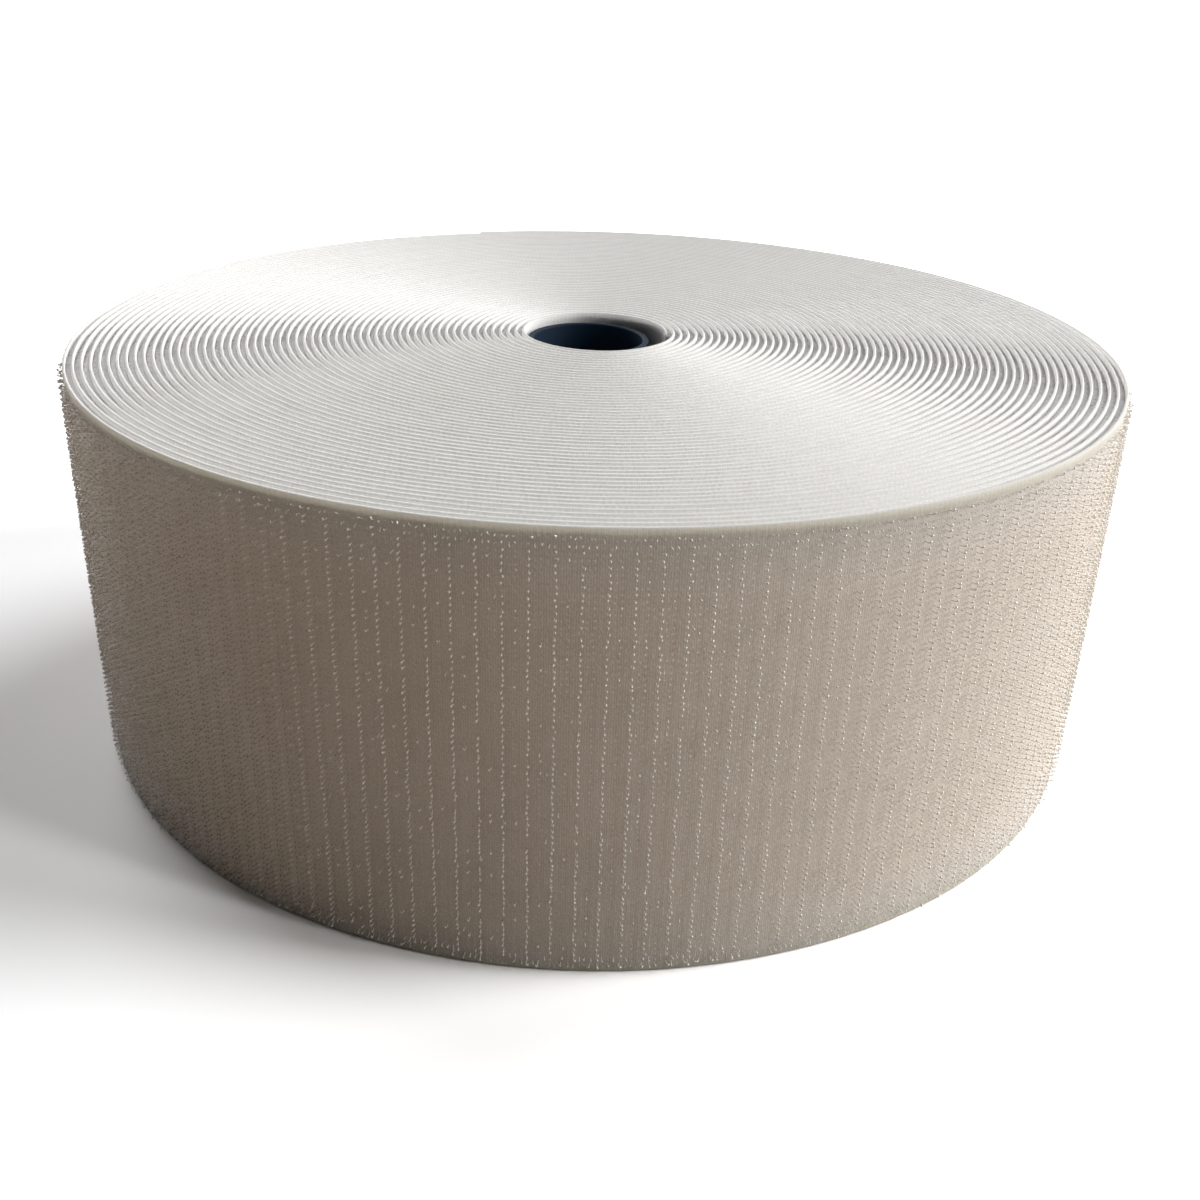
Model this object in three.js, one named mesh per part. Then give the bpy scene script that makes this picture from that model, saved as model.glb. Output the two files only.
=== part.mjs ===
// Roll of hook tape lying on one edge, wound hooks outward round a loose plastic core tube.
// Millimetres, +Z up. The origin is where the roll's axis meets the surface that it lies on.
// The tape is one strip on a spiral. Its outer loops are wound one by one, the loops inside
// them are one plain block, and the last stretch is a free end that lifts off the roll.

import * as THREE from 'three';

// Tape
const tapeWidth = 100;
const backingThickness = 0.45;
const pileHeight = 1.1;
const selvedgeWidth = 2.2;
const loopGap = 0.45;

// Core tube
const coreRadius = 15.95;
const coreWall = 1.6;
const coreLength = 97.8;
const coreChamfer = 0.4;

// Winding. Its inner end has sprung away from the core by the slack.
const coreSlack = 2.05;
const woundTurns = 57.3;
const shownLoops = 16;
const freeEndLength = 60;

// Clearances between neighbouring solids. The tube touches the tape's edges, which bend in, so
// it stops short of the tape's back.
const coreClearance = 0.9;
const jointClearance = 0.3;

// How far the hooks stand back from the line on which the free end bends, as a share of their height
const bendSetbackShare = 1.3;

// Facets
const stepsPerLoop = 24;
const stepsOuterLoop = 48;
const stepsFreeEnd = 8;
const stepsBore = 48;
const stepsCore = 48;

const fullTurn = 2 * Math.PI;
const innerEndRadius = coreRadius + coreSlack;
const pitch = backingThickness + pileHeight + loopGap;

// Radius of the tape's back at a place on the strip, counted in turns from its inner end
function backRadius(turns) {
  return innerEndRadius + pitch * turns;
}

// Turns that a short length of strip takes up near a place on it
function turnsOf(length, turns) {
  return length / (fullTurn * backRadius(turns));
}

const bendTurns = woundTurns - turnsOf(freeEndLength, woundTurns);
const windingStart = bendTurns - shownLoops;

function polar(turns, radius, height = 0) {
  const angle = turns * fullTurn;
  return new THREE.Vector3(radius * Math.cos(angle), radius * Math.sin(angle), height);
}

// One cross-section of the tape: the back, both thin selvedge edges, and the face of the hooks
function tapeSection(turns, pile = pileHeight) {
  const back = backRadius(turns);
  const ground = back + backingThickness;
  const hooks = ground + pile;
  return [
    polar(turns, back, 0),
    polar(turns, ground, 0),
    polar(turns, hooks, selvedgeWidth),
    polar(turns, hooks, tapeWidth - selvedgeWidth),
    polar(turns, ground, tapeWidth),
    polar(turns, back, tapeWidth),
  ];
}

// A closed solid through a row of cross-sections with equal numbers of points. A ring joins its
// last section to its first, and an open row has an end face across each end.
function loft(sections, isRing = false) {
  const sides = sections[0].length;
  const count = sections.length;
  const index = [];
  for (let ring = 0; ring < (isRing ? count : count - 1); ring += 1) {
    for (let side = 0; side < sides; side += 1) {
      const here = ring * sides + side;
      const beside = ring * sides + ((side + 1) % sides);
      const next = ((ring + 1) % count) * sides;
      const onward = next + side;
      const across = next + ((side + 1) % sides);
      index.push(here, across, beside);
      index.push(here, onward, across);
    }
  }
  const last = (count - 1) * sides;
  for (let side = 1; side + 1 < sides && !isRing; side += 1) {
    index.push(0, side, side + 1);
    index.push(last, last + side + 1, last + side);
  }
  const geometry = new THREE.BufferGeometry().setFromPoints(sections.flat());
  geometry.setIndex(index);
  geometry.computeVertexNormals();
  return geometry;
}

// Places along a stretch of the strip, at even steps
function evenPlaces(from, to, steps) {
  return Array.from({ length: steps + 1 }, (_, step) => from + ((to - from) * step) / steps);
}

// The wound loops, from the block inside them to the line where the free end bends.
// The outermost loop has finer steps, and the hooks stop short of the bend.
function windingPlaces() {
  const outerLoop = bendTurns - 1;
  const inner = evenPlaces(windingStart, outerLoop, stepsPerLoop * (shownLoops - 1));
  const outer = evenPlaces(outerLoop, bendTurns, stepsOuterLoop);
  return inner.concat(outer.slice(1, -1));
}

function windingGeometry() {
  const sections = windingPlaces().map((turns) => tapeSection(turns));
  const setback = turnsOf(bendSetbackShare * pileHeight, bendTurns);
  const gap = turnsOf(jointClearance / 2, bendTurns);
  sections.push(tapeSection(bendTurns - gap - setback));
  sections.push(tapeSection(bendTurns - gap, 0));
  return loft(sections);
}

// The free end follows the same spiral, from the bend to the cut end
function freeEndGeometry() {
  const setback = turnsOf(bendSetbackShare * pileHeight, bendTurns);
  const gap = turnsOf(jointClearance / 2, bendTurns);
  const root = bendTurns + gap;
  const sections = evenPlaces(root + setback, woundTurns, stepsFreeEnd).map((turns) => tapeSection(turns));
  return loft([tapeSection(root, 0), ...sections]);
}

// A point on the straight facet that spans one step of a wound loop
function facetPoint(turns, beyondBack, height) {
  const step = Math.floor((turns - windingStart) * stepsPerLoop);
  const from = windingStart + step / stepsPerLoop;
  const to = windingStart + (step + 1) / stepsPerLoop;
  const start = polar(from, backRadius(from) + beyondBack, height);
  const end = polar(to, backRadius(to) + beyondBack, height);
  return start.lerp(end, (turns - from) / (to - from));
}

// The loops inside the shown ones, as one block. Its bore and its rim are single turns of the
// same spiral, so each has a step of one pitch, where the strip starts and where it goes on.
// The rim keeps to the facets of the loop over it.
function innerBlockGeometry() {
  const thickness = backingThickness + pileHeight;
  const rimStart = windingStart - 1;
  const rimSeam = windingStart - Math.floor(windingStart);
  const beforeSeam = rimSeam - turnsOf(jointClearance, windingStart);
  const boreEnd = 1 - turnsOf(jointClearance, 1);
  const places = [...evenPlaces(0, boreEnd, stepsBore), beforeSeam, rimSeam].sort((a, b) => a - b);
  const sections = places.map((turns) => {
    const along = turns < rimSeam ? turns + 1 : turns;
    const rimTurns = rimStart + along - rimSeam;
    return [
      facetPoint(rimTurns, thickness, 0),
      facetPoint(rimTurns, thickness, tapeWidth),
      polar(turns, backRadius(turns), tapeWidth),
      polar(turns, backRadius(turns), 0),
    ];
  });
  return loft(sections, true);
}

function coreGeometry() {
  const bore = coreRadius - coreWall;
  const profile = [
    [bore + coreChamfer, 0],
    [coreRadius - coreChamfer, 0],
    [coreRadius, coreChamfer],
    [coreRadius, coreLength - coreChamfer],
    [coreRadius - coreChamfer, coreLength],
    [bore + coreChamfer, coreLength],
    [bore, coreLength - coreChamfer],
    [bore, coreChamfer],
    [bore + coreChamfer, 0],
  ];
  const geometry = new THREE.LatheGeometry(profile.map(([r, z]) => new THREE.Vector2(r, z)), stepsCore);
  return geometry.rotateX(fullTurn / 4);
}

// Least distance between the hooks of a loop and the back of the loops wound over it
function leastLoopGap() {
  const places = windingPlaces();
  const outside = places.map((turns) => polar(turns, backRadius(turns) + backingThickness + pileHeight));
  const backs = places.map((turns) => polar(turns, backRadius(turns)));
  const halfTurn = 0.5;
  let least = Infinity;
  outside.forEach((point, here) => {
    backs.forEach((other, there) => {
      if (places[there] - places[here] > halfTurn) least = Math.min(least, point.distanceTo(other));
    });
  });
  return least;
}

function material(name, color, roughness) {
  const made = new THREE.MeshStandardMaterial({ color, roughness, metalness: 0 });
  made.name = name;
  return made;
}

function part(name, geometry, look) {
  const mesh = new THREE.Mesh(geometry, look);
  mesh.name = name;
  return mesh;
}

const roll = new THREE.Group();
roll.add(part('tape_outer_turns', windingGeometry(), material('tape_outer_turns', 0xe6e1d6, 0.7)));
roll.add(part('tape_inner_turns', innerBlockGeometry(), material('tape_inner_turns', 0xe4e5df, 0.75)));
roll.add(part('tape_free_end', freeEndGeometry(), material('tape_free_end', 0xe6e1d6, 0.7)));

// The tube is loose: it leans against the side of the bore half a turn from the tape's inner end
const core = part('core_tube', coreGeometry(), material('core_tube', 0x0a141f, 0.6));
core.position.x = coreRadius + coreClearance - backRadius(0.5);
roll.add(core);

console.log(`least gap between the wound loops: ${leastLoopGap().toFixed(3)} mm`);

export default roll;
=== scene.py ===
"""Looks of a roll of white woven hook tape on a loose dark core tube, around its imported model.

Metres, +Z up. The strip is one spiral: places on it are counted in turns from its inner end,
which lies on the +X side, and it grows anticlockwise seen from above.
"""

import math

import bpy
import numpy as np
from mathutils import Matrix, Vector


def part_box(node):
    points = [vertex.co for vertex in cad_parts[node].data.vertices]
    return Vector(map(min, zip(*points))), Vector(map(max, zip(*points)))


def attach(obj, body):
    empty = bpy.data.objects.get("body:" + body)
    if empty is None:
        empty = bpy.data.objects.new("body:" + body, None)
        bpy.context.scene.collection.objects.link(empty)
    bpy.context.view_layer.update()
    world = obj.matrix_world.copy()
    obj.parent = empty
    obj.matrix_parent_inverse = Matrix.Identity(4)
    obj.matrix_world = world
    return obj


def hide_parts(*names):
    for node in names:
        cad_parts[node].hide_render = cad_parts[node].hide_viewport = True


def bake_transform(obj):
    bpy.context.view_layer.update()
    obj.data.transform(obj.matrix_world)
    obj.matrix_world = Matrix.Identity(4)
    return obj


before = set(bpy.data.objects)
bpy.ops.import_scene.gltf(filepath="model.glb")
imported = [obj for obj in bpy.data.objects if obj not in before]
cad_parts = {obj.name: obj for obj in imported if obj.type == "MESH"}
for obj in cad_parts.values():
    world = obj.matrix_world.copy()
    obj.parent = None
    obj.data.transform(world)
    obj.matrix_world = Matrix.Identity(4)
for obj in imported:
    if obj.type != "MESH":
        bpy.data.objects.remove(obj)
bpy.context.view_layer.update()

MM = 0.001
FULL_TURN = 2 * math.pi

# The strip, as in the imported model
tape_low, tape_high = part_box("tape_outer_turns")
TAPE_WIDTH = tape_high.z - tape_low.z
BACKING = 0.45 * MM
PITCH = 2.0 * MM
INNER_RADIUS = 18 * MM
WOUND_TURNS = 57.3
SHOWN_LOOPS = 16
FREE_LENGTH = 60 * MM

# Turns before the bend at which the strip's last piece and its field of hooks start
LAST_PIECE_TURNS = 0.25
HOOKED_TURNS = 1.02

# How far the strip's edges bend in towards the axis and over what width, how much that varies,
# and the power of its curve
EDGE_CURL = 0.12 * MM
CURL_WIDTH = 1.2 * MM
CURL_CHANGE = 0.2
CURL_POWER = 2.2

# How far the strip wanders from its spiral, sideways and down
WOBBLE_OUT = 0.1 * MM
WOBBLE_DOWN = 0.16 * MM
WAVES_PER_TURN = (2.07, 3.11, 5.17, 8.27)

# Half of the strip's section in millimetres: height above its edge, then the outer face and the
# back there. The selvedge is a little thicker than the backing, and its lip is round.
EDGE_PROFILE = (
    (0, 0.36, 0.14),
    (0.06, 0.5, 0.01),
    (0.18, 0.58, -0.06),
    (0.4, 0.6, -0.08),
    (0.8, 0.6, -0.08),
    (1.3, 0.58, -0.07),
    (1.9, 0.5, -0.03),
    (2.6, 0.45, 0),
    (6, 0.45, 0),
)

# Steps in one turn of the meshes: the inner turns, the outer turns and the pile, and the last piece
INNER_STEPS = 64
STRIP_STEPS = 120
OUTER_STEPS = 360

# Hooks: sides of the wire, rows across the strip, width of the hook-free selvedge along each edge,
# length of strip that a group of columns takes, and numbers of pieces that hold them
HOOK_SIDES = 4
HOOK_LINES = 73
HOOK_MARGIN = 2.3 * MM
COLUMN_GROUP = 4.75 * MM
HOOK_PIECES = 12
UPPER_GAP_PIECES = 6
LOWER_GAP_PIECES = 3

# Columns of hooks in a group: place along it as a share, way they curl, twist, size and the share
# of them that get a painted glint
COLUMNS = (
    (0, 1, -0.6, 1.1, 0.95),
    (0.27, -1, 0.3, 0.78, 0.01),
    (0.52, 1, 0.5, 0.84, 0.12),
    (0.77, -1, -0.4, 0.78, 0.01),
)

# Lines of a hook and of a plain one in a gap, in millimetres: out from the backing, up along the
# column and the wire's radius
HOOK_LINE = ((-0.1, 0, 0.09), (0.6, -0.02, 0.08), (1.0, 0.01, 0.13), (1.16, 0.14, 0.2),
             (1.1, 0.34, 0.2), (0.86, 0.42, 0.09))
PLAIN_HOOK_LINE = ((-0.1, 0, 0.09), (0.95, 0, 0.09), (1.32, 0.28, 0.1), (1.2, 0.66, 0.1),
                   (0.85, 0.7, 0.08))

# How hooks vary: scatter along and across the strip, lean, twist and range of sizes
HOOK_SCATTER = (0.07 * MM, 0.06 * MM)
HOOK_LEAN = 0.1
HOOK_TWIST = 0.2
HOOK_SIZES = (0.92, 1.05)
GAP_SCATTER = (0.3 * MM, 0.15 * MM)
GAP_LEAN = 0.25
GAP_TWIST = 0.6
GAP_SIZES = (0.8, 1.0)

# The outermost rows of hooks: their width, how much more they lean and twist, and how far they
# tip towards the strip's edge
EDGE_ROWS = 0.7 * MM
EDGE_LEAN = 1.8
EDGE_TWIST = 2.5
EDGE_TILT = 0.3

# A border next to the selvedge, in which more of the hooks get a painted glint
BORDER_ROWS = 2 * MM
BORDER_GLINT_SHARE = 0.5

# Pile in the gaps between the turns: how far its top lies inside the strip's edges, how rough it
# is, and its section in millimetres, out from the strip's back and below its top
PILE_DEPTH = 1.35 * MM
PILE_ROUGH = 0.12 * MM
PILE_PROFILE = ((0.35, 0.05), (0.8, 0), (1.5, 0), (1.97, 0.05), (1.97, 2.2), (0.35, 2.2))

# Rows of plain hooks: how far inside the top of the pile they stand
GAP_ROWS = (0.4 * MM, 1.3 * MM)

# The core tube's wall, the radius of its lips, and steps round the tube and over a quarter turn of
# a lip
CORE_WALL = 1.6 * MM
CORE_LIP = 0.5 * MM
CORE_STEPS = 128
LIP_STEPS = 4

# Seeds of the random draws
OUT_SEED, DOWN_SEED, CURL_SEED = 1, 2, 3
UPPER_PILE_SEED, LOWER_PILE_SEED = 31, 32
HOOK_SEED, FREE_HOOK_SEED = 100, 200
UPPER_GAP_SEED, LOWER_GAP_SEED = 300, 400

# Camera, fitted to the photograph: where it stands in front of the roll, its turns in radians, and
# its lens and sensor in millimetres
CAMERA_BACK = 347.3 * MM
CAMERA_HEIGHT = 191.5 * MM
CAMERA_YAW = 0.00889
CAMERA_PITCH = 0.4563
CAMERA_ROLL = 0.03079
LENS = 40.25
SENSOR = 36
CLIP_RANGE = (0.01, 100)

# Lights from far away: name, azimuth from +X, height and spread in degrees, strength and colour
LIGHTS = (
    ("side_window", 2, 24, 28, 3.15, (1, 0.985, 0.965)),
    ("back_window", 45, 35, 36, 1.8, (1, 0.99, 0.985)),
    ("far_window", 125, 25, 36, 1.3, (1, 0.99, 0.99)),
    ("lamp", -24, 24, 8, 0.65, (1, 0.99, 0.97)),
)
SKY_COLOUR = (1, 0.95, 0.9, 1)
SKY_STRENGTH = 0.02
WHITE = (1, 1, 1, 1)

# Floor: half its size, its colour as it is seen, and the warmer colour of the light it throws back
FLOOR_REACH = 30
FLOOR_SEEN = (1.70, 1.73, 1.77, 1)
FLOOR_BOUNCE = (0.40, 0.305, 0.225, 1)


# The spiral

def back_radius(turns):
    return INNER_RADIUS + PITCH * turns


def length_at(turns):
    """Length of strip from its inner end."""
    return FULL_TURN * (INNER_RADIUS * turns + PITCH * turns ** 2 / 2)


def turns_at(length):
    return (np.sqrt(INNER_RADIUS ** 2 + PITCH * length / math.pi) - INNER_RADIUS) / PITCH


BEND_TURNS = WOUND_TURNS - FREE_LENGTH / (FULL_TURN * back_radius(WOUND_TURNS))
INNER_TURNS = BEND_TURNS - SHOWN_LOOPS
HOOKED_FROM = BEND_TURNS - HOOKED_TURNS


def wander(turns, seed):
    """Slow swings between -1 and 1 that change little from one turn to the next."""
    phases = np.random.default_rng(seed).random(len(WAVES_PER_TURN))
    swings = [np.sin(FULL_TURN * (waves * turns + phase))
              for waves, phase in zip(WAVES_PER_TURN, phases)]
    return sum(swings) / len(swings)


def bend_in(turns, across):
    """How far the strip bends in near its edges, where no hooks hold it out."""
    edge = np.minimum(across, TAPE_WIDTH - across)
    share = np.clip(1 - edge / CURL_WIDTH, 0, 1) ** CURL_POWER
    return EDGE_CURL * (1 + CURL_CHANGE * wander(turns, CURL_SEED)) * share


def on_strip(turns, across, out):
    """Points at a height across the strip and a distance out from its back."""
    angle = FULL_TURN * turns
    wobble = WOBBLE_OUT * wander(turns, OUT_SEED)
    radius = back_radius(turns) + wobble + out - bend_in(turns, across)
    sink = WOBBLE_DOWN * (wander(turns, DOWN_SEED) - 1) / 2 * (1 - 2 * across / TAPE_WIDTH)
    height = across - sink + 0 * angle
    return np.stack([radius * np.cos(angle), radius * np.sin(angle), height], axis=-1)


# Meshes

def link_object(name, data):
    made = bpy.data.objects.new(name, data)
    bpy.context.scene.collection.objects.link(made)
    return made


def mesh_object(name, points, face_groups, values=None, smooth=True):
    """A mesh object from points, values at them, and arrays of faces with equal corner counts."""
    mesh = bpy.data.meshes.new(name)
    corners = np.concatenate([group.ravel() for group in face_groups])
    sizes = np.concatenate([np.full(len(group), group.shape[1]) for group in face_groups])
    mesh.vertices.add(len(points))
    mesh.vertices.foreach_set("co", points.astype(np.float32).ravel())
    mesh.loops.add(len(corners))
    mesh.loops.foreach_set("vertex_index", corners.astype(np.int32))
    mesh.polygons.add(len(sizes))
    mesh.polygons.foreach_set("loop_start", (np.cumsum(sizes) - sizes).astype(np.int32))
    mesh.update(calc_edges=True)
    if smooth:
        mesh.polygons.foreach_set("use_smooth", np.ones(len(sizes), bool))
    for key, data in (values or {}).items():
        kind, field = ("FLOAT_VECTOR", "vector") if data.ndim == 2 else ("FLOAT", "value")
        layer = mesh.attributes.new(key, kind, "POINT")
        layer.data.foreach_set(field, data.astype(np.float32).ravel())
    return link_object(name, mesh)


def tube_faces(rings, sides):
    """Faces of a tube with this many rings of this many points."""
    ring, side = np.meshgrid(np.arange(rings - 1), np.arange(sides), indexing="ij")
    beside = (side + 1) % sides
    quads = np.stack([ring * sides + side, ring * sides + beside,
                      (ring + 1) * sides + beside, (ring + 1) * sides + side], axis=-1)
    return quads.reshape(-1, 4)


def sharpen_after(made, first_corner):
    """Marks the edges of all faces from this corner on as sharp."""
    mesh = made.data
    edges = np.empty(len(mesh.loops), np.int32)
    mesh.loops.foreach_get("edge_index", edges)
    is_sharp = np.zeros(len(mesh.edges), bool)
    is_sharp[edges[first_corner:]] = True
    mesh.edges.foreach_set("use_edge_sharp", is_sharp)


def strip_piece(name, from_turns, to_turns, steps_per_turn):
    """A stretch of the strip. Its points hold their length, height and face (1 outer, 0 back)."""
    steps = max(2, math.ceil((to_turns - from_turns) * steps_per_turn))
    turns = np.linspace(from_turns, to_turns, steps + 1)
    low = [(height * MM, outer * MM, back * MM) for height, outer, back in EDGE_PROFILE]
    column = low + [(TAPE_WIDTH - height, outer, back) for height, outer, back in reversed(low)]
    section = [(height, outer, 1) for height, outer, back in column]
    section += [(height, back, 0) for height, outer, back in reversed(column)]
    points = np.stack([on_strip(turns, height, out) for height, out, face in section], axis=1)
    lengths = length_at(turns)
    strip = np.stack([np.stack([lengths, 0 * lengths + height, 0 * lengths + face], axis=-1)
                      for height, out, face in section], axis=1)
    sides = len(section)
    side = np.arange(len(column) - 1)
    cap = np.stack([side, sides - 1 - side, sides - 2 - side, side + 1], axis=-1)
    tube = tube_faces(steps + 1, sides)
    faces = [tube[:, ::-1], cap[:, ::-1], cap + steps * sides]
    made = mesh_object(name, points.reshape(-1, 3), faces, {"strip": strip.reshape(-1, 3)})
    sharpen_after(made, tube.size)
    return made


def wire_points(line):
    """Points round a bent wire: for each ring and side, along the strip, out and up."""
    line = np.array(line) * MM
    place, wire = line[:, :2], line[:, 2:]
    heading = np.gradient(place, axis=0)
    heading /= np.linalg.norm(heading, axis=1)[:, None]
    turn = FULL_TURN * np.arange(HOOK_SIDES) / HOOK_SIDES
    along = wire * np.cos(turn)[None, :]
    out = place[:, :1] - wire * np.sin(turn)[None, :] * heading[:, 1:]
    up = place[:, 1:] + wire * np.sin(turn)[None, :] * heading[:, :1]
    return np.stack([along, out, up], axis=-1).reshape(-1, 3)


def wire_faces(rings):
    side = np.arange(HOOK_SIDES)
    return tube_faces(rings, HOOK_SIDES), np.array([side[::-1], side + (rings - 1) * HOOK_SIDES])


def hooks_piece(name, lengths, across, facing, lean, twist, size, line, shade, glossy_painted_glint):
    """Wire hooks on the strip's outer face, one for each place.

    facing is 1 or -1, for the way a hook curls. lean tips it along and up the strip, and twist
    turns it about its root. Hooks with a painted glint take the second, lighter material.
    """
    shape = wire_points(line)
    quads, ends = wire_faces(len(line))
    turned = twist + np.where(facing > 0, 0, math.pi)
    cos, sin = np.cos(turned)[:, None], np.sin(turned)[:, None]
    shape_along, shape_out, shape_up = shape.T[:, None, :]
    out = shape_out * size[:, None]
    along = (shape_along * cos - shape_up * sin) * size[:, None] + lean[:, :1] * out
    up = (shape_along * sin + shape_up * cos) * size[:, None] + lean[:, 1:] * out
    turns = turns_at(lengths)
    root = on_strip(turns, across, BACKING)[:, None]
    angle = FULL_TURN * turns
    outward = np.stack([np.cos(angle), np.sin(angle)], axis=-1)[:, None]
    onward = np.stack([-np.sin(angle), np.cos(angle)], axis=-1)[:, None]
    flat = root[..., :2] + outward * out[..., None] + onward * along[..., None]
    points = np.concatenate([flat, (root[..., 2] + up)[..., None]], axis=-1)
    count, size_of_one = len(lengths), len(shape)
    offset = (np.arange(count) * size_of_one)[:, None, None]
    faces = [(quads[None] + offset).reshape(-1, 4), (ends[None] + offset).reshape(-1, HOOK_SIDES)]
    values = {"shade": np.repeat(shade, size_of_one)}
    made = mesh_object(name, points.reshape(-1, 3), faces, values)
    for material in HOOK_LOOKS:
        made.data.materials.append(bpy.data.materials[material])
    second = np.concatenate([np.repeat(glossy_painted_glint, len(quads)), np.repeat(glossy_painted_glint, len(ends))])
    made.data.polygons.foreach_set("material_index", second.astype(np.int32))
    return made


def hook_places(from_turns, to_turns, lines, columns):
    """Places of a field of hooks: length along the strip, height across it and kind of column."""
    first, last = length_at(from_turns), length_at(to_turns)
    shares = np.array([column[0] for column in columns])
    groups = np.arange(math.floor(first / COLUMN_GROUP), math.ceil(last / COLUMN_GROUP))
    places = (groups[:, None] + shares[None, :]).ravel() * COLUMN_GROUP
    kinds = np.tile(np.arange(len(columns)), len(groups))
    kept = (places >= first) & (places < last)
    lengths, across = np.meshgrid(places[kept], lines, indexing="ij")
    return lengths.ravel(), across.ravel(), np.repeat(kinds[kept], len(lines))


def hook_field(name, from_turns, to_turns, seed):
    """The hooks on one stretch of the outermost turn."""
    rng = np.random.default_rng(seed)
    lines = np.linspace(HOOK_MARGIN, TAPE_WIDTH - HOOK_MARGIN, HOOK_LINES)
    lengths, across, kinds = hook_places(from_turns, to_turns, lines, COLUMNS)
    facing, twist, size, glint_share = np.array(COLUMNS)[kinds].T[1:]
    count = len(lengths)
    lengths = lengths + rng.normal(0, HOOK_SCATTER[0], count)
    across = across + rng.normal(0, HOOK_SCATTER[1], count)
    inside = np.minimum(across, TAPE_WIDTH - across) - HOOK_MARGIN
    edge, border = inside < EDGE_ROWS, inside < BORDER_ROWS
    lean = rng.normal(0, HOOK_LEAN, (count, 2)) * np.where(edge, EDGE_LEAN, 1)[:, None]
    lean[:, 1] += np.where(edge, EDGE_TILT, 0) * np.sign(across - TAPE_WIDTH / 2)
    twist = twist + rng.normal(0, HOOK_TWIST, count) * np.where(edge, EDGE_TWIST, 1)
    size = size * rng.uniform(*HOOK_SIZES, count)
    # Hooks that get a painted glint: most of one column in each group, and many along the border
    glossy_painted_glint = rng.random(count) < np.where(border, BORDER_GLINT_SHARE, glint_share)
    shade = rng.random(count)
    return hooks_piece(name, lengths, across, facing, lean, twist, size, HOOK_LINE, shade, glossy_painted_glint)


def gap_hooks(name, from_turns, to_turns, lines, seed):
    """Plain hooks along the edges of the wound turns, which show in the gaps between them."""
    rng = np.random.default_rng(seed)
    lengths, across, kinds = hook_places(from_turns, to_turns, lines, COLUMNS[::2])
    facing = np.where(kinds == 0, 1, -1)
    count = len(lengths)
    lengths = lengths + rng.normal(0, GAP_SCATTER[0], count)
    across = across + rng.normal(0, GAP_SCATTER[1], count)
    lean = rng.normal(0, GAP_LEAN, (count, 2))
    twist = rng.normal(0, GAP_TWIST, count)
    size = rng.uniform(*GAP_SIZES, count)
    shade = rng.random(count)
    glossy_painted_glint = np.zeros(count, bool)
    return hooks_piece(name, lengths, across, facing, lean, twist, size, PLAIN_HOOK_LINE, shade,
                       glossy_painted_glint)


def pile_piece(name, from_turns, to_turns, upper):
    """The dense hooks deeper in the gaps between the turns, as one soft body along the strip.

    Its points hold their length along the strip, height across it and distance out from its back.
    """
    steps = math.ceil((to_turns - from_turns) * STRIP_STEPS)
    turns = np.linspace(from_turns, to_turns, steps + 1)
    rng = np.random.default_rng(UPPER_PILE_SEED if upper else LOWER_PILE_SEED)
    rough = rng.normal(0, PILE_ROUGH, (len(turns), len(PILE_PROFILE)))
    rings, strip = [], []
    for place, (out, depth) in enumerate(PILE_PROFILE):
        height = PILE_DEPTH + depth * MM + rough[:, place]
        across = TAPE_WIDTH - height if upper else height
        rings.append(on_strip(turns, across, out * MM))
        strip.append(np.stack([length_at(turns), across, 0 * turns + out * MM], axis=-1))
    points, strip = np.stack(rings, axis=1), np.stack(strip, axis=1)
    sides = len(PILE_PROFILE)
    # Two faces close each end of the six-sided section
    cap = np.array([[0, 1, 4, 5], [1, 2, 3, 4]])
    groups = [tube_faces(len(turns), sides), cap[:, ::-1], cap + steps * sides]
    if not upper:
        groups = [group[:, ::-1] for group in groups]
    return mesh_object(name, points.reshape(-1, 3), groups, {"strip": strip.reshape(-1, 3)})


def core_piece(name):
    """The core tube with rounded lips."""
    low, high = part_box("core_tube")
    middle, radius, length = (low + high) / 2, (high.x - low.x) / 2, high.z - low.z
    outer, inner = radius - CORE_LIP, radius - CORE_WALL + CORE_LIP
    bottom, top = CORE_LIP, length - CORE_LIP
    corners = ((outer, bottom, -1), (outer, top, 0), (inner, top, 1), (inner, bottom, 2))
    profile = []
    for r, z, quarter in corners:
        for step in range(LIP_STEPS + 1):
            angle = (quarter + step / LIP_STEPS) * math.pi / 2
            profile.append((r + CORE_LIP * math.cos(angle), z + CORE_LIP * math.sin(angle)))
    profile = np.array(profile)
    sides = len(profile)
    angle = FULL_TURN * np.arange(CORE_STEPS) / CORE_STEPS
    ring = np.stack([np.cos(angle), np.sin(angle)], axis=-1)
    flat = profile[None, :, :1] * ring[:, None, :] + np.array([middle.x, middle.y])
    heights = np.broadcast_to(profile[None, :, 1:], (CORE_STEPS, sides, 1))
    points = np.concatenate([flat, heights], axis=-1)
    faces = tube_faces(CORE_STEPS + 1, sides) % (CORE_STEPS * sides)
    return mesh_object(name, points.reshape(-1, 3), [faces[:, ::-1]])


# Materials

def new_material(name):
    made = bpy.data.materials.new(name)
    made.use_nodes = True
    made.node_tree.nodes.clear()
    return made


def fill(tree, socket, value):
    """Links another socket into this one, or sets it to a constant."""
    if isinstance(value, bpy.types.NodeSocket):
        tree.links.new(value, socket)
    else:
        socket.default_value = value


def add(tree, kind, values, **settings):
    """A node with its settings, and the links or constants of its sockets."""
    made = tree.nodes.new(kind)
    for key, value in settings.items():
        setattr(made, key, value)
    for key, value in values.items():
        fill(tree, made.inputs[key], value)
    return made


def maths(tree, operation, a, b):
    return add(tree, "ShaderNodeMath", {0: a, 1: b}, operation=operation).outputs[0]


def plus(tree, a, b):
    return maths(tree, "ADD", a, b)


def minus(tree, a, b):
    return maths(tree, "SUBTRACT", a, b)


def times(tree, a, b):
    return maths(tree, "MULTIPLY", a, b)


def sine(tree, value):
    return add(tree, "ShaderNodeMath", {0: value}, operation="SINE").outputs[0]


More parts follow.
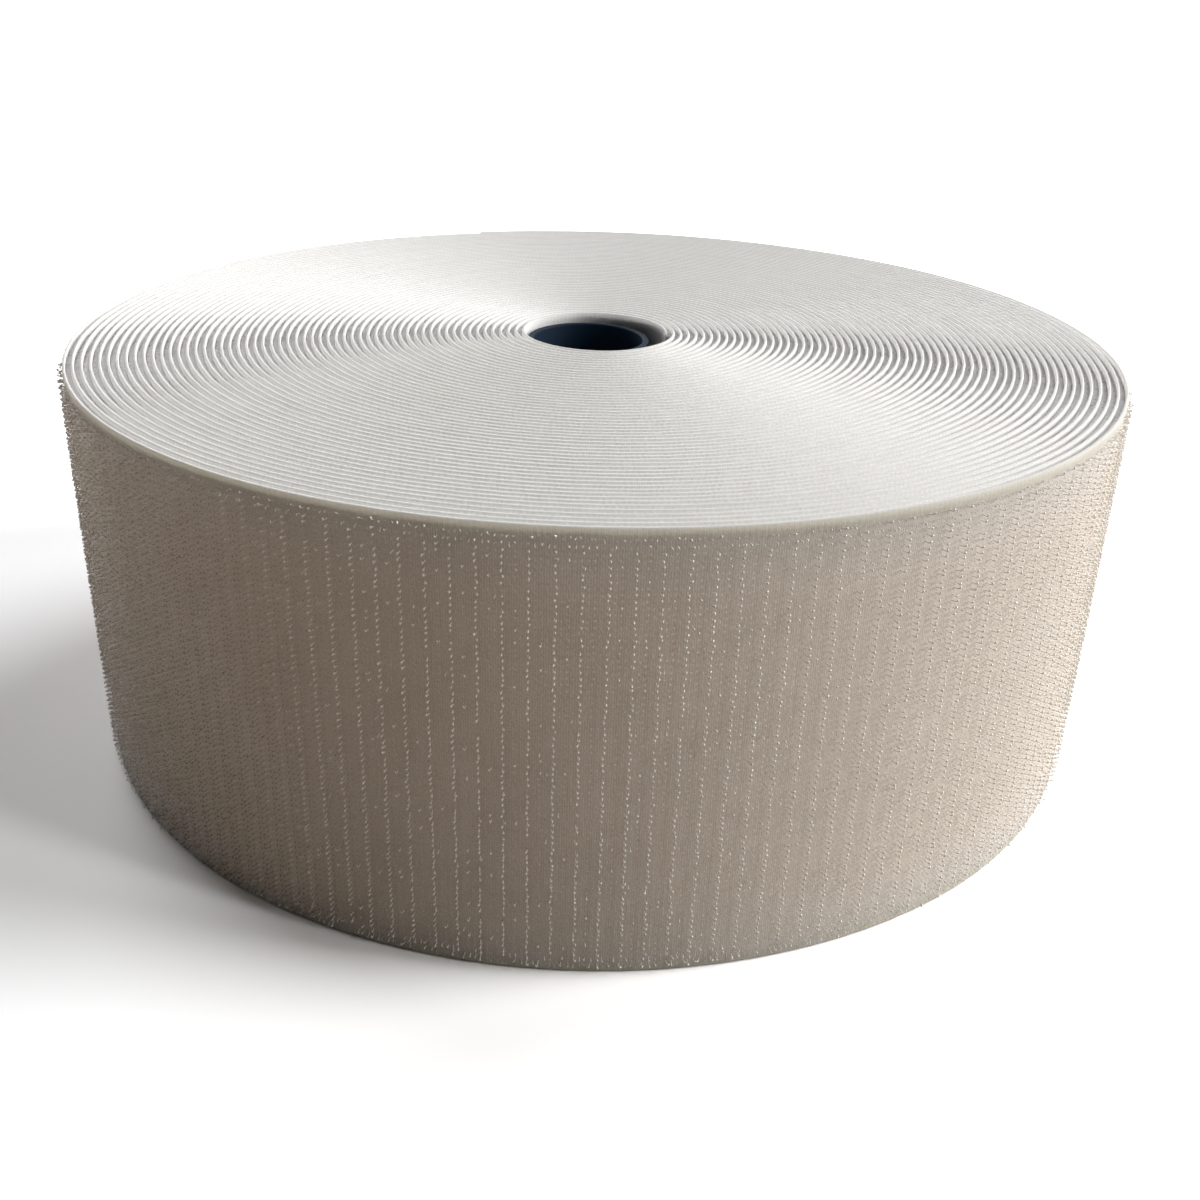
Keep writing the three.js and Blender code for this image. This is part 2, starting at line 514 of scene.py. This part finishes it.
def mixed(tree, factor, a, b):
    """Two colours mixed, each a socket or a constant."""
    return add(tree, "ShaderNodeMix", {0: factor, 6: a, 7: b}, data_type="RGBA").outputs[2]


def ramp(tree, value, low, high):
    """0 at low and before it, 1 at high and beyond."""
    values = {"Value": value, "From Min": low, "From Max": high}
    return add(tree, "ShaderNodeMapRange", values).outputs[0]


def noise(tree, place, scale, detail):
    values = {"Vector": place, "Scale": scale, "Detail": detail}
    return add(tree, "ShaderNodeTexNoise", values).outputs[0]


def stretched(tree, place, scale):
    return add(tree, "ShaderNodeMapping", {"Vector": place, "Scale": scale}).outputs[0]


def bumpy(tree, height, strength, distance):
    values = {"Height": height, "Strength": strength, "Distance": distance}
    return add(tree, "ShaderNodeBump", values).outputs[0]


def attribute(tree, name, output):
    return add(tree, "ShaderNodeAttribute", {}, attribute_name=name).outputs[output]


def principled(tree, values):
    shader = add(tree, "ShaderNodeBsdfPrincipled", values)
    add(tree, "ShaderNodeOutputMaterial", {"Surface": shader.outputs[0]})


# Light goes through the thin nylon
TRANSLUCENT = {"Subsurface Radius": (1, 1, 1), "Subsurface Scale": 2.0 * MM}

# Weave: distances from rib to rib and from warp to warp, and cords in the selvedge for each group
# of columns
RIB_PITCH = 0.49 * MM
WARP_PITCH = 0.36 * MM
CORDS_PER_GROUP = 4

# Relief of the weave: how much the ribs waver, the heights of warp, cords and grain beside that of
# a rib, and the strength and height of the whole
RIB_WAVER = 3.0
WARP_SHARE = 0.35
CORD_SHARE = 1.5
GRAIN_SHARE = 4.5
WEAVE_BUMP = (0.18, 0.03 * MM)

# Scale and detail of the noises: waver of the ribs, blotches and grain
WAVER_NOISE = (900, 2)
BLOTCH_NOISE = (60, 3)
GRAIN_NOISE = (1500, 2)

# Values of relief and blotches between which painted shade fills the furrows, and of grain between
# which its tint comes in
FURROW_SHADE_RANGE = (0.6, -1.3)
BLOTCH_RANGE = (0.3, 0.7)
GRAIN_RANGE = (0.4, 0.62)

# Distances from the strip's edges, outer and inner, between which a look fades away
SELVEDGE_FADE = (HOOK_MARGIN - 0.7 * MM, HOOK_MARGIN + 1.1 * MM)
LIP_SHADE_FADE = (0.1 * MM, 0.4 * MM)
PAINTED_GLOW_FADE = (HOOK_MARGIN, 18 * MM)
GLOW_FADE = (3 * MM, 12 * MM)

# Colours of the woven strip. The ground lies under the hooks, and a painted glow makes it paler
# near the selvedges.
BACK_COLOUR = (0.89, 0.89, 0.88, 1)
GROUND_COLOUR = (0.73, 0.675, 0.61, 1)
PAINTED_GLOW_GROUND_COLOUR = (0.88, 0.85, 0.83, 1)
SELVEDGE_COLOUR = (0.77, 0.775, 0.76, 1)
# The outermost turn's selvedge: a greener tint, darkened further with painted shade
OUTERMOST_SELVEDGE_SHADED_COLOUR = (0.60, 0.595, 0.53, 1)
# The lips' colour is painted shade on the tops of the strip's edges
LIP_PAINTED_SHADE_COLOUR = (0.46, 0.464, 0.452, 1)
# Painted shade in the furrows of the weave, in patches
FURROW_SHADE_COLOUR = (0.30, 0.27, 0.23, 1)
GRAIN_COLOUR = (0.44, 0.38, 0.31, 1)

# How strongly those tints, the painted glow and the painted shade show
PAINTED_GLOW_TINT = 0.4
LIP_PAINTED_SHADE = 0.8
FURROW_SHADE = 0.16
GRAIN_TINT = 0.16

# Roughness where blotches are least and how much they add, and the same for light that goes
# through the strip, away from its edges and near them
WOVEN_ROUGHNESS = (0.55, 0.2)
WOVEN_GLOW = (0.4, 0.6)


def near_edges(tree, middle, fade):
    """1 at the strip's edges, down to 0 over a stretch given by its distances from them."""
    outer, inner = fade
    return ramp(tree, middle, TAPE_WIDTH / 2 - inner, TAPE_WIDTH / 2 - outer)


def woven_material(name):
    """Woven nylon: weft ribs, warp lines, a warmer hooked face, and paler selvedges with cords.

    A painted glow lightens the hooked face near the selvedges, and painted shade darkens the lips,
    the furrows of the weave and the outermost selvedge.
    """
    made = new_material(name)
    tree = made.node_tree
    place = attribute(tree, "strip", "Vector")
    length, across, face = add(tree, "ShaderNodeSeparateXYZ", {0: place}).outputs[:3]
    middle = add(tree, "ShaderNodeMath", {0: minus(tree, across, TAPE_WIDTH / 2)},
                 operation="ABSOLUTE").outputs[0]
    selvedge = near_edges(tree, middle, SELVEDGE_FADE)

    shift = times(tree, noise(tree, place, *WAVER_NOISE), RIB_WAVER)
    rib = sine(tree, plus(tree, times(tree, length, FULL_TURN / RIB_PITCH), shift))
    warp = sine(tree, times(tree, across, FULL_TURN / WARP_PITCH))
    cord = sine(tree, times(tree, length, CORDS_PER_GROUP * FULL_TURN / COLUMN_GROUP))
    weave = plus(tree, rib, times(tree, warp, WARP_SHARE))
    weave = plus(tree, weave, times(tree, times(tree, cord, selvedge), CORD_SHARE))
    blotch = noise(tree, place, *BLOTCH_NOISE)
    speck = times(tree, ramp(tree, noise(tree, place, *GRAIN_NOISE), *GRAIN_RANGE), face)
    relief = minus(tree, weave, times(tree, speck, GRAIN_SHARE))

    # A painted glow makes the hooked face paler near the selvedges
    pale = times(tree, near_edges(tree, middle, PAINTED_GLOW_FADE), PAINTED_GLOW_TINT)
    ground = mixed(tree, pale, GROUND_COLOUR, PAINTED_GLOW_GROUND_COLOUR)
    # The outermost turn's selvedge takes its greener colour with painted shade
    outermost = ramp(tree, length, length_at(HOOKED_FROM) - MM, length_at(HOOKED_FROM) + MM)
    selvedge_with_painted_shade = mixed(tree, outermost, SELVEDGE_COLOUR, OUTERMOST_SELVEDGE_SHADED_COLOUR)
    colour = mixed(tree, face, BACK_COLOUR, mixed(tree, selvedge, ground, selvedge_with_painted_shade))
    # Painted shade darkens the tops of the strip's edges
    lip_shade = times(tree, near_edges(tree, middle, LIP_SHADE_FADE), LIP_PAINTED_SHADE)
    colour = mixed(tree, lip_shade, colour, LIP_PAINTED_SHADE_COLOUR)
    # Painted shade in the furrows of the weave, where the blotches are strong
    furrow_shade = times(tree, ramp(tree, weave, *FURROW_SHADE_RANGE), ramp(tree, blotch, *BLOTCH_RANGE))
    colour = mixed(tree, times(tree, furrow_shade, FURROW_SHADE), colour, FURROW_SHADE_COLOUR)
    colour = mixed(tree, times(tree, speck, GRAIN_TINT), colour, GRAIN_COLOUR)

    roughness, more_roughness = WOVEN_ROUGHNESS
    glow, edge_glow = WOVEN_GLOW
    more_glow = times(tree, near_edges(tree, middle, GLOW_FADE), edge_glow)
    principled(tree, {
        "Base Color": colour,
        "Normal": bumpy(tree, relief, *WEAVE_BUMP),
        "Roughness": plus(tree, times(tree, blotch, more_roughness), roughness),
        "Subsurface Weight": plus(tree, more_glow, glow),
        **TRANSLUCENT,
    })
    return made


# Pile: its strands lie across the gap
STRAND_STRETCH = (1, 0.4, 0.25)
STRAND_NOISE = (2600, 2)
STRAND_RANGE = (0.35, 0.65)
PILE_COLOURS = ((0.80, 0.75, 0.79, 1), (0.96, 0.93, 0.96, 1))
PILE_BUMP = (0.6, 0.15 * MM)
PILE_ROUGHNESS = 0.7


def pile_material(name):
    """Dense hooks seen from above: fine strands that lie across the gap."""
    made = new_material(name)
    tree = made.node_tree
    drawn = stretched(tree, attribute(tree, "strip", "Vector"), STRAND_STRETCH)
    strand = noise(tree, drawn, *STRAND_NOISE)
    principled(tree, {
        "Base Color": mixed(tree, ramp(tree, strand, *STRAND_RANGE), *PILE_COLOURS),
        "Normal": bumpy(tree, strand, *PILE_BUMP),
        "Roughness": PILE_ROUGHNESS,
        "Subsurface Weight": 1,
        **TRANSLUCENT,
    })
    return made


# Nylon of the hooks, plain and glossy with a painted glint: darkest and lightest colour, and the
# shader's values
HOOK_LOOKS = {
    "hook_nylon": ((0.80, 0.75, 0.69, 1), (0.90, 0.86, 0.80, 1),
                   {"Alpha": 0.22, "Roughness": 0.5}),
    # Glossy hooks: real gloss, and a lighter colour that is a painted glint
    "hook_glossy_painted_glint": ((0.82, 0.80, 0.76, 1), (0.96, 0.94, 0.91, 1),
                   {"Roughness": 0.2, "Specular IOR Level": 1}),
}


def hook_material(name):
    """Nylon monofilament, a little different from hook to hook; the glossy ones get a painted
    glint.
    """
    tree = new_material(name).node_tree
    darkest, lightest, values = HOOK_LOOKS[name]
    shade = attribute(tree, "shade", "Fac")
    principled(tree, {"Base Color": mixed(tree, shade, darkest, lightest), **values})


# Core tube: drag marks along it
DRAG_STRETCH = (1, 1, 0.04)
DRAG_NOISE = (1600, 4)
DRAG_ROUGHNESS = (-1.0, 1.6)
DRAG_BUMP = (0.3, 0.02 * MM)
CORE_COLOURS = ((0.003, 0.010, 0.023, 1), (0.006, 0.017, 0.034, 1))
CORE_SPECULAR = 0.08


def core_material(name):
    """Dark moulded plastic with a fine drag along the tube."""
    made = new_material(name)
    tree = made.node_tree
    place = add(tree, "ShaderNodeTexCoord", {}).outputs["Object"]
    drag = noise(tree, stretched(tree, place, DRAG_STRETCH), *DRAG_NOISE)
    principled(tree, {
        "Base Color": mixed(tree, drag, *CORE_COLOURS),
        "Normal": bumpy(tree, drag, *DRAG_BUMP),
        "Roughness": ramp(tree, drag, *DRAG_ROUGHNESS),
        "Specular IOR Level": CORE_SPECULAR,
    })
    return made


def seen_itself(tree):
    """1 for rays that see the surface, directly, in a reflection or through glass, or else 0."""
    path = add(tree, "ShaderNodeLightPath", {}).outputs
    seen = maths(tree, "MAXIMUM", path["Is Camera Ray"], path["Is Glossy Ray"])
    return maths(tree, "MAXIMUM", seen, path["Is Transmission Ray"])


def floor_material(name):
    """A pale floor that shows white where it is lit, keeps shadows and throws back warmer light."""
    made = new_material(name)
    tree = made.node_tree
    colour = mixed(tree, seen_itself(tree), FLOOR_BOUNCE, FLOOR_SEEN)
    plain = add(tree, "ShaderNodeBsdfDiffuse", {"Color": colour}).outputs[0]
    add(tree, "ShaderNodeOutputMaterial", {"Surface": plain})
    return made


# Scene

def make_camera():
    """The camera stands in front of the roll, turned by yaw and roll and looking down by pitch."""
    data = bpy.data.cameras.new("camera")
    data.sensor_width = SENSOR
    data.lens = LENS
    data.clip_start, data.clip_end = CLIP_RANGE
    made = link_object("camera", data)
    yaw, pitch, roll = CAMERA_YAW, CAMERA_PITCH, CAMERA_ROLL
    forward = np.array([math.sin(yaw) * math.cos(pitch), math.cos(yaw) * math.cos(pitch),
                        -math.sin(pitch)])
    level = np.array([math.cos(yaw), -math.sin(yaw), 0])
    upright = np.cross(level, forward)
    right = level * math.cos(roll) + upright * math.sin(roll)
    up = upright * math.cos(roll) - level * math.sin(roll)
    turned = Matrix(np.stack([right, up, -forward], axis=1).tolist()).to_4x4()
    made.matrix_world = Matrix.Translation((0, -CAMERA_BACK, CAMERA_HEIGHT)) @ turned
    bpy.context.scene.camera = made


def make_floor():
    sides = ((-1, -1, 0), (1, -1, 0), (1, 1, 0), (-1, 1, 0))
    corners = FLOOR_REACH * np.array(sides)
    floor = mesh_object("floor", corners, [np.array([[0, 1, 2, 3]])], smooth=False)
    floor.data.materials.append(floor_material("floor"))


def make_world():
    """A faint warm sky that shows white."""
    world = bpy.data.worlds.new("world")
    world.use_nodes = True
    tree = world.node_tree
    tree.nodes.clear()
    soft = add(tree, "ShaderNodeBackground", {"Color": SKY_COLOUR, "Strength": SKY_STRENGTH})
    white = add(tree, "ShaderNodeBackground", {"Color": WHITE, "Strength": 1})
    both = add(tree, "ShaderNodeMixShader",
               {0: seen_itself(tree), 1: soft.outputs[0], 2: white.outputs[0]})
    add(tree, "ShaderNodeOutputWorld", {"Surface": both.outputs[0]})
    bpy.context.scene.world = world


def make_light(name, azimuth, elevation, spread, strength, colour):
    data = bpy.data.lights.new(name, "SUN")
    data.angle = math.radians(spread)
    data.energy = strength
    data.color = colour
    around, above = math.radians(azimuth), math.radians(elevation)
    source = Vector((math.cos(around) * math.cos(above), math.sin(around) * math.cos(above),
                     math.sin(above)))
    link_object(name, data).rotation_euler = source.to_track_quat("Z", "Y").to_euler()


def make_tape():
    woven = woven_material("woven_tape")
    last_start = BEND_TURNS - LAST_PIECE_TURNS
    inner = strip_piece("inner_turns", 0, INNER_TURNS, INNER_STEPS)
    outer = strip_piece("outer_turns", INNER_TURNS, last_start, STRIP_STEPS)
    end = strip_piece("last_turn_and_free_end", last_start, WOUND_TURNS, OUTER_STEPS)
    for made in (inner, outer, end):
        made.data.materials.append(woven)
    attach(inner, "roll")
    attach(outer, "roll")
    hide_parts("tape_inner_turns")
    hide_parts("tape_outer_turns")
    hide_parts("tape_free_end")
    bend_free_end(end)


def bend_free_end(made):
    """The piece keeps to the spiral up to the bend and past it; this only bakes its placement into
    its points.
    """
    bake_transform(made)


def make_hooks():
    """The field of hooks on the outermost turn and on the free end."""
    bounds = np.linspace(HOOKED_FROM, BEND_TURNS, HOOK_PIECES + 1)
    for number in range(HOOK_PIECES):
        name = f"hooks_{number + 1}"
        made = hook_field(name, bounds[number], bounds[number + 1], HOOK_SEED + number)
        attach(made, "roll")
    flap = hook_field("hooks_free_end", BEND_TURNS, WOUND_TURNS, FREE_HOOK_SEED)
    bend_free_end(flap)


def make_gap_hooks(side, lines, pieces, seed):
    """Rows of plain hooks along one edge of the turns inside the outermost one."""
    cuts = turns_at(np.linspace(0, length_at(HOOKED_FROM), pieces + 1))
    for number in range(pieces):
        name = f"gap_hooks_{side}_{number + 1}"
        made = gap_hooks(name, cuts[number], cuts[number + 1], lines, seed + number)
        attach(made, "roll")


def make_pile():
    pile = pile_material("hook_pile")
    for upper_side in (True, False):
        made = pile_piece("pile_upper" if upper_side else "pile_lower", 0, HOOKED_FROM, upper_side)
        made.data.materials.append(pile)
        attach(made, "roll")


def make_core():
    made = core_piece("core")
    made.data.materials.append(core_material("core_plastic"))
    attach(made, "core")
    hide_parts("core_tube")


bpy.context.scene.view_settings.view_transform = "Standard"
make_camera()
make_world()
make_floor()
for light in LIGHTS:
    make_light(*light)
make_tape()
for name in HOOK_LOOKS:
    hook_material(name)
make_hooks()
upper_rows = [TAPE_WIDTH - PILE_DEPTH - row for row in GAP_ROWS]
lower_rows = [PILE_DEPTH + GAP_ROWS[0]]
make_gap_hooks("upper", upper_rows, UPPER_GAP_PIECES, UPPER_GAP_SEED)
make_gap_hooks("lower", lower_rows, LOWER_GAP_PIECES, LOWER_GAP_SEED)
make_pile()
make_core()
